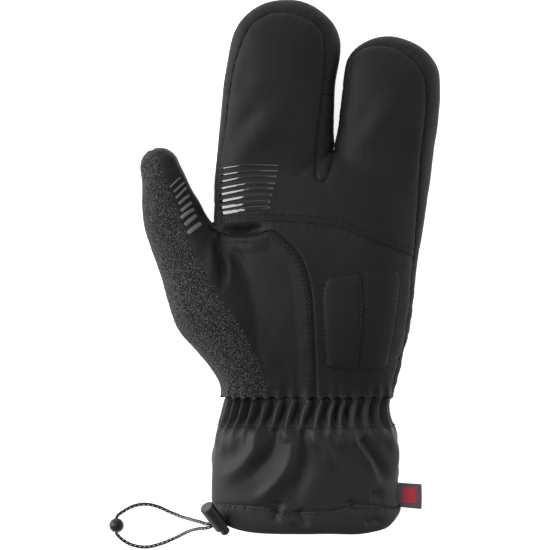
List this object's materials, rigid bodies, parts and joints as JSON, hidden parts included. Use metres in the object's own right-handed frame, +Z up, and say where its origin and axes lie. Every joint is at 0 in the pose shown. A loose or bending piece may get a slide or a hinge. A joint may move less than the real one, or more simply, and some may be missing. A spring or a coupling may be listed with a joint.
{
  "type": "lobster claw mitt",
  "caption": "Insulated black lobster claw mitt with a terry thumb wipe, gathered wrist, wide cuff and drawcord hem.",
  "frame": {"origin": "on the flattened underside of the hand, beneath the middle of the palm", "axes": "+Z up out of the palm, +Y to the fingertips, +X to the little finger side"},
  "size_m": [0.1781, 0.2949, 0.0448],
  "materials": {
    "softshell": "softshell knit with a smooth face",
    "terry": "looped terry, speckled grey",
    "grip_black": "glossy printed silicone",
    "grip_grey": "printed silicone, satin",
    "label_weave": "woven damask label",
    "elastic_cord": "braided elastic with pale flecks",
    "lock_plastic": "moulded plastic, semi-gloss"
  },
  "bodies": {
    "mitt": {"back_panel": "softshell", "long_pod_gusset": "softshell", "slit_gusset": "softshell", "short_pod_gusset": "softshell", "finger_palm_panel": "softshell", "heel_palm_panel": "softshell", "palm_pad": "softshell", "thumb_panel": "softshell", "wrist_gather": "softshell", "gauntlet_cuff": "softshell", "hem_channel": "softshell", "thumb_wipe": "terry", "index_grip_1": "grip_black", "index_grip_2": "grip_black", "index_grip_3": "grip_black", "index_grip_4": "grip_black", "index_grip_5": "grip_black", "index_grip_6": "grip_black", "index_grip_7": "grip_black", "index_grip_8": "grip_black", "thumb_grip_1": "grip_grey", "thumb_grip_2": "grip_grey", "thumb_grip_3": "grip_grey", "thumb_grip_4": "grip_grey", "thumb_grip_5": "grip_grey", "thumb_grip_6": "grip_grey", "thumb_grip_7": "grip_grey", "thumb_grip_8": "grip_grey", "side_label": "label_weave", "drawcord": "elastic_cord", "cord_bead": "lock_plastic", "cord_lock_barrel": "lock_plastic"},
    "lock_plunger": {"cord_lock_plunger": "lock_plastic"}
  },
  "joints": [
    {"name": "plunger_press", "type": "slide", "parent": "mitt", "child": "lock_plunger", "axis": [-0.4901, 0.6921, 0.5299], "range_m": [0, 0.003], "stiffness_N_per_m": 400, "springref_m": -0.002}
  ]
}
